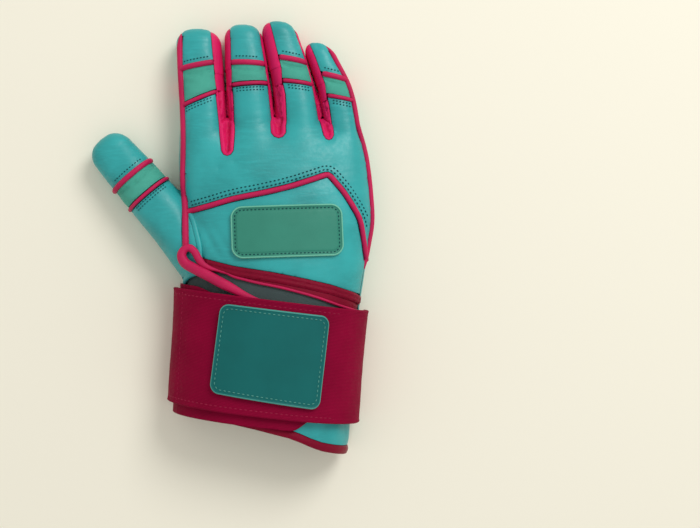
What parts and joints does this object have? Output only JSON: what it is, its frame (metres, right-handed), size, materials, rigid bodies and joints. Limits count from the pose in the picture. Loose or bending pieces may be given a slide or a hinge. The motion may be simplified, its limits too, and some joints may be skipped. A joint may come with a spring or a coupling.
{
  "type": "batting glove",
  "caption": "Right-hand leather batting glove with knit finger walls, flex inserts, piping, a cuff and a wide wrist strap that peels open.",
  "frame": {"origin": "centre of the palm, on the flat that the glove lies on", "axes": "+X towards the little finger, +Y towards the fingertips, +Z out of the back of the hand"},
  "size_m": [0.1497, 0.2293, 0.0471],
  "materials": {
    "leather": "soft glossy turquoise leather with fine creases",
    "flex_knit": "mint stretch knit",
    "stretch_knit": "magenta stretch knit",
    "gusset_knit": "grey-teal stretch knit",
    "elastic_webbing": "woven magenta elastic",
    "hook_and_loop": "matte hook and loop tape",
    "dark_rubber": "satin teal moulded rubber",
    "pale_rubber": "satin mint moulded rubber"
  },
  "bodies": {
    "hand": {"upper_back_panel": "leather", "lower_back_panel": "leather", "palm_panel": "leather", "thumb_back_panel": "leather", "cuff_panel": "leather", "thumb_fold": "leather", "index_flex_insert": "flex_knit", "middle_flex_insert": "flex_knit", "ring_flex_insert": "flex_knit", "little_flex_insert": "flex_knit", "thumb_flex_insert": "flex_knit", "chevron_piping": "stretch_knit", "index_side_piping": "stretch_knit", "little_side_piping": "stretch_knit", "wrist_edge_binding": "stretch_knit", "slit_roll_binding": "stretch_knit", "cuff_hem_binding": "stretch_knit", "index_middle_fourchette": "stretch_knit", "middle_ring_fourchette": "stretch_knit", "ring_little_fourchette": "stretch_knit", "index_lower_piping": "stretch_knit", "middle_lower_piping": "stretch_knit", "ring_lower_piping": "stretch_knit", "little_lower_piping": "stretch_knit", "thumb_lower_piping": "stretch_knit", "index_fold": "stretch_knit", "middle_fold": "stretch_knit", "ring_fold": "stretch_knit", "little_fold": "stretch_knit", "slit_gusset": "gusset_knit", "strap_root": "elastic_webbing", "wrist_band": "elastic_webbing", "loop_pad": "hook_and_loop", "back_patch": "pale_rubber"},
    "strap": {"wrist_strap": "elastic_webbing", "strap_patch": "dark_rubber", "hook_pad": "hook_and_loop"},
    "index_tip": {"index_tip_back": "leather", "index_tip_front": "leather", "index_tip_right_wall": "stretch_knit", "index_tip_side_piping": "stretch_knit", "index_upper_piping": "stretch_knit"},
    "middle_tip": {"middle_tip_back": "leather", "middle_tip_front": "leather", "middle_tip_left_wall": "stretch_knit", "middle_tip_right_wall": "stretch_knit", "middle_upper_piping": "stretch_knit"},
    "ring_tip": {"ring_tip_back": "leather", "ring_tip_front": "leather", "ring_tip_left_wall": "stretch_knit", "ring_tip_right_wall": "stretch_knit", "ring_upper_piping": "stretch_knit"},
    "little_tip": {"little_tip_back": "leather", "little_tip_front": "leather", "little_tip_left_wall": "stretch_knit", "little_tip_side_piping": "stretch_knit", "little_upper_piping": "stretch_knit"},
    "thumb_tip": {"thumb_tip_back": "leather", "thumb_tip_front": "leather", "thumb_upper_piping": "stretch_knit"}
  },
  "joints": [
    {"name": "strap_open", "type": "hinge", "parent": "hand", "child": "strap", "pos_m": [0.03659, -0.06057, 0.0328], "axis": [0.1234, 0.9905, -0.0603], "range_deg": [0, 150]},
    {"name": "index_bend", "type": "hinge", "parent": "hand", "child": "index_tip", "pos_m": [-0.0393, 0.0896, 0.005], "axis": [-0.9977, -0.0675, 0], "range_deg": [0, 90], "deforming": ["index_flex_insert", "index_fold"]},
    {"name": "middle_bend", "type": "hinge", "parent": "hand", "child": "middle_tip", "pos_m": [-0.0149, 0.0937, 0.005], "axis": [-0.9956, -0.0936, 0], "range_deg": [0, 90], "deforming": ["middle_flex_insert", "middle_fold"]},
    {"name": "ring_bend", "type": "hinge", "parent": "hand", "child": "ring_tip", "pos_m": [0.0079, 0.0954, 0.005], "axis": [-0.9662, -0.2577, 0], "range_deg": [0, 90], "deforming": ["ring_flex_insert", "ring_fold"]},
    {"name": "little_bend", "type": "hinge", "parent": "hand", "child": "little_tip", "pos_m": [0.031, 0.0882, 0.005], "axis": [-0.9206, -0.3906, 0], "range_deg": [0, 90], "deforming": ["little_flex_insert", "little_fold"]},
    {"name": "thumb_bend", "type": "hinge", "parent": "hand", "child": "thumb_tip", "pos_m": [-0.07105, 0.03427, 0.005], "axis": [-0.7547, -0.6561, 0], "range_deg": [0, 80], "deforming": ["thumb_flex_insert", "thumb_fold"]}
  ]
}
